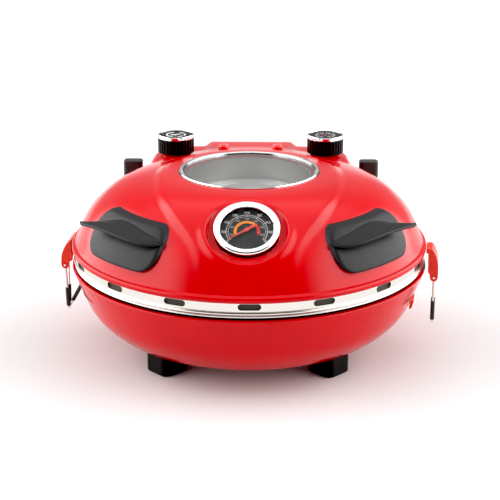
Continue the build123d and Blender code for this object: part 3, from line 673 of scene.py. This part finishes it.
# ------------------------------------------------------------------ printing
class Print:
    """Thin raised ink: closed slabs on a plane, gathered into one mesh."""

    def __init__(self, origin, ux, uy, uz, lo, hi):
        self.o, self.x, self.y, self.z = (np.array(k, float) for k in (origin, ux, uy, uz))
        self.lo, self.hi = lo, hi
        self.v, self.f = [], []

    def slab(self, outline):
        n, k = len(outline), len(self.v)
        for h in (self.lo, self.hi):
            for u, w in outline:
                self.v.append(self.o + self.x * u + self.y * w + self.z * h)
        self.f.append(tuple(range(k + n, k + 2 * n)))
        self.f.append(tuple(range(k + n - 1, k - 1, -1)))
        for i in range(n):
            j = (i + 1) % n
            self.f.append((k + i, k + j, k + n + j, k + n + i))

    def ring(self, r0, r1, a0, a1, n):
        """Arc clockwise from a0 to a1, degrees measured from straight up, as separate closed segments."""
        k = len(self.v)
        t = [math.radians(a0 + (a1 - a0) * i / n) for i in range(n + 1)]
        for h in (self.lo, self.hi):
            for r in (r0, r1):
                for q in t:
                    self.v.append(self.o + self.x * (r * math.sin(q)) + self.y * (r * math.cos(q)) + self.z * h)
        m = n + 1
        A, B, C, D = k, k + m, k + 2 * m, k + 3 * m
        for i in range(n):
            self.f.append((A + i, A + i + 1, B + i + 1, B + i))
            self.f.append((C + i, D + i, D + i + 1, C + i + 1))
            self.f.append((A + i, C + i, C + i + 1, A + i + 1))
            self.f.append((B + i, B + i + 1, D + i + 1, D + i))
        self.f.append((A, B, D, C))
        self.f.append((A + n, C + n, D + n, B + n))

    def bar(self, r0, r1, deg, w0, w1=None):
        w1 = w0 if w1 is None else w1
        t = math.radians(deg)
        e, s = np.array((math.sin(t), math.cos(t))), np.array((math.cos(t), -math.sin(t)))
        self.slab([tuple(e * r0 - s * w0 / 2), tuple(e * r0 + s * w0 / 2), tuple(e * r1 + s * w1 / 2), tuple(e * r1 - s * w1 / 2)])

    SEG = {"0": "abcdef", "1": "bc", "2": "abged", "3": "abgcd", "4": "fgbc", "5": "afgcd", "6": "afgedc", "7": "abc", "8": "abcdefg", "9": "abcdfg"}

    def digit(self, ch, cx, cy, h, tilt=0.0):
        w, t = h * 0.52, h * 0.15
        g = 0.02
        X, Y = w / 2, h / 2
        box = {"a": (-X + t + g, Y - t, X - t - g, Y), "d": (-X + t + g, -Y, X - t - g, -Y + t), "g": (-X + t + g, -t / 2, X - t - g, t / 2),
               "f": (-X, g, -X + t, Y), "b": (X - t, g, X, Y), "e": (-X, -Y, -X + t, -g), "c": (X - t, -Y, X, -g)}
        q = math.radians(tilt)
        for sgm in self.SEG[ch]:
            x0, y0, x1, y1 = box[sgm]
            pts = [(x0, y0), (x1, y0), (x1, y1), (x0, y1)]
            self.slab([(cx + x * math.cos(q) + y * math.sin(q), cy - x * math.sin(q) + y * math.cos(q)) for x, y in pts])

    def text(self, s, r, deg, h, turned=False):
        t = math.radians(deg)
        cx, cy = r * math.sin(t), r * math.cos(t)
        step = h * 0.68
        q = deg if turned else 0.0
        c, sn = math.cos(math.radians(q)), math.sin(math.radians(q))
        for i, ch in enumerate(s):
            d = (i - (len(s) - 1) / 2) * step
            self.digit(ch, cx + d * c, cy - d * sn, h, q)

    def put(self, name, mat, body):
        make(name, self.v, self.f, M[mat], body, smooth=False)


def dial_print():
    ux = (1.0, 0.0, 0.0)
    a0, a1 = -122.5, 122.5
    w = Print(GC, ux, GV, GN, -6.88, -6.80)
    w.ring(18.7, 19.1, a0, a1, 80)
    w.ring(16.7, 16.95, a0, a1, 80)
    for i in range(9):
        deg = a0 + (a1 - a0) * i / 8
        w.bar(16.98, 18.67, deg, 0.45)
        w.text(str(50 * (i + 1)), 21.6, deg, 2.5, turned=False)
    for i in range(40):
        if i % 5:
            w.bar(17.7, 18.67, a0 + (a1 - a0) * i / 40, 0.22)
    w.put("dial_scale_print", "print_white", "lid")
    g = Print(GC, ux, GV, GN, -6.88, -6.80)
    for i in range(7):
        g.text(str(100 * (i + 2)), 14.4, -105 + 210 * i / 6, 1.9)
    g.put("dial_inner_print", "print_grey", "lid")
    o = Print(GC, ux, GV, GN, -6.88, -6.80)
    o.ring(9.3, 12.0, -108, 38, 50)
    o.put("dial_orange_arc", "print_orange", "lid")
    r = Print(GC, ux, GV, GN, -6.88, -6.80)
    r.ring(9.3, 12.0, 40, 108, 26)
    r.put("dial_red_arc", "print_red", "lid")


dial_print()


def top_of(nm):
    ob = NODES[nm]
    co = np.array([ob.matrix_world @ v.co for v in ob.data.vertices]) / MM
    return co[:, 0].mean() * 0 + (co[:, 0].min() + co[:, 0].max()) / 2, (co[:, 1].min() + co[:, 1].max()) / 2 - SHIFT_Y, co[:, 2].max()


def cap_prints():
    X, Y, Z = (1.0, 0.0, 0.0), (0.0, 1.0, 0.0), (0.0, 0.0, 1.0)
    cx, cy, cz = top_of("thermostat_knob_cap")
    p = Print((cx, cy, cz), X, Y, Z, 0.01, 0.09)
    p.ring(9.0, 10.5, -165, -15, 30)
    p.ring(9.0, 10.5, 20, 60, 10)
    p.ring(9.0, 10.5, 75, 115, 10)
    p.ring(9.0, 10.5, 130, 165, 10)
    for i in range(4):
        p.text(str(i), 6.2, 60 + 60 * i if i else -60, 2.6)
    p.bar(-5.0, 3.0, 62, 2.4)
    p.bar(3.05, 6.0, 62, 2.4, 0.6)
    p.put("thermostat_cap_print", "print_white", "thermostat_dial")
    cx, cy, cz = top_of("timer_knob_cap")
    p = Print((cx, cy, cz), X, Y, Z, 0.01, 0.09)
    for i in range(16):
        p.bar(9.0 if i % 3 else 8.2, 10.8, -150 + 20 * i, 0.9)
    for i in range(6):
        p.text(str(5 * i), 6.6, -150 + 60 * i, 1.9)
    p.put("timer_cap_print", "print_white", "timer_dial")
    q = Print((cx, cy, cz), X, Y, Z, 0.01, 0.09)
    q.bar(-2.0, 4.6, -20, 1.5, 0.5)
    q.put("timer_cap_pointer", "print_red", "timer_dial")


cap_prints()


# pressed steps of the ring that carries the inner pane
cx, cy, cz = top_of("window_inner_glass")
for k, (r, w) in enumerate(((50.0, 1.6), (42.0, 0.9))):
    v, f = lathe([(r - w, cz + 0.05), (r + w, cz + 0.05), (r + w * 0.8, cz + 0.6), (r, cz + 0.9), (r - w * 0.8, cz + 0.6)], 180)
    v = np.array(v) + (cx, cy, 0.0)
    make("window_step_%d" % (k + 1), v, f, M["collar_steel"], "lid", sharp=60)


# ------------------------------------------------------------------ floor, light, camera
def stage_floor():
    me = bpy.data.meshes.new("floor")
    s = 6.0
    me.from_pydata([(-s, -s, -0.0003), (s, -s, -0.0003), (s, s, -0.0003), (-s, s, -0.0003)], [], [(0, 1, 2, 3)])
    ob = bpy.data.objects.new("floor", me)
    bpy.context.scene.collection.objects.link(ob)
    m = bpy.data.materials.new("floor_paper")
    m.use_nodes = True
    nt = m.node_tree
    p = nt.nodes["Principled BSDF"]
    v = coords(nt)
    nt.links.new(ramp(nt, noise(nt, v, 6.0, 3.0), [(0.3, (0.67, 0.67, 0.67)), (0.7, (0.69, 0.69, 0.69))]), p.inputs["Base Color"])
    nt.links.new(span(nt, noise(nt, v, 30.0, 3.0), 0.8, 0.95), p.inputs["Roughness"])
    me.materials.append(m)


stage_floor()


# direction, cosine at the edge, cosine of the flat middle, radiance
PANELS = [
    ((0.0, 1.0, 0.15), 0.10, 0.60, 0.42),
    ((0.0, 1.0, -0.02), 0.950, 0.995, 1.6),
    ((-1.0, 0.05, 0.20), 0.58, 0.82, 4.4),
    ((1.0, 0.05, 0.20), 0.58, 0.82, 4.4),
    ((0.0, 0.20, 1.0), 0.62, 0.86, 1.38),
]
AMBIENT = 0.02

world = bpy.data.worlds.new("studio")
bpy.context.scene.world = world
world.use_nodes = True
wn = world.node_tree
bg = wn.nodes["Background"]


def lobe(direction, lo, hi, radiance):
    """A soft panel of light around one direction; lo and hi are cosines at its edge and its flat middle."""
    vm = wn.nodes.new("ShaderNodeVectorMath")
    vm.operation = "DOT_PRODUCT"
    wn.links.new(wtc.outputs["Generated"], vm.inputs[0])
    vm.inputs[1].default_value = Vector(direction).normalized()
    mr = wn.nodes.new("ShaderNodeMapRange")
    mr.interpolation_type = "SMOOTHSTEP"
    mr.inputs["From Min"].default_value = lo
    mr.inputs["From Max"].default_value = hi
    mr.inputs["To Min"].default_value = 0.0
    mr.inputs["To Max"].default_value = radiance
    wn.links.new(vm.outputs["Value"], mr.inputs["Value"])
    return mr.outputs["Result"]


wtc = wn.nodes.new("ShaderNodeTexCoord")
total = None
for panel in PANELS:
    got = lobe(*panel)
    if total is None:
        total = got
        continue
    mx = wn.nodes.new("ShaderNodeMath")
    mx.operation = "MAXIMUM"
    wn.links.new(total, mx.inputs[0])
    wn.links.new(got, mx.inputs[1])
    total = mx.outputs["Value"]
ad = wn.nodes.new("ShaderNodeMath")
ad.operation = "ADD"
wn.links.new(total, ad.inputs[0])
ad.inputs[1].default_value = AMBIENT
wn.links.new(ad.outputs["Value"], bg.inputs["Strength"])
bg.inputs["Color"].default_value = (1, 1, 1, 1)
white = wn.nodes.new("ShaderNodeBackground")
white.inputs["Color"].default_value = (1, 1, 1, 1)
white.inputs["Strength"].default_value = 1.02
lp = wn.nodes.new("ShaderNodeLightPath")
mix = wn.nodes.new("ShaderNodeMixShader")
wn.links.new(lp.outputs["Is Camera Ray"], mix.inputs["Fac"])
wn.links.new(bg.outputs["Background"], mix.inputs[1])
wn.links.new(white.outputs["Background"], mix.inputs[2])
wn.links.new(mix.outputs["Shader"], wn.nodes["World Output"].inputs["Surface"])

cam = bpy.data.cameras.new("camera")
cam.sensor_width = 36.0
cam.lens = 1300.42 / 500.0 * 36.0
cam.shift_x = 0.00178
cam.clip_start, cam.clip_end = 0.05, 30.0
co = bpy.data.objects.new("camera", cam)
AZC = math.radians(0.9)
co.location = (1.25 * math.sin(AZC), -1.25 * math.cos(AZC) + SHIFT_Y * MM, 0.5215)
co.rotation_euler = (math.radians(90 - 18.861), 0.0, AZC)
bpy.context.scene.collection.objects.link(co)
bpy.context.scene.camera = co
bpy.context.scene.view_settings.view_transform = "Standard"
bpy.context.scene.view_settings.look = "None"
bpy.context.scene.view_settings.use_curve_mapping = True
bpy.context.scene.view_settings.curve_mapping.black_level = (0.014, 0.014, 0.014)
bpy.context.scene.view_settings.curve_mapping.update()
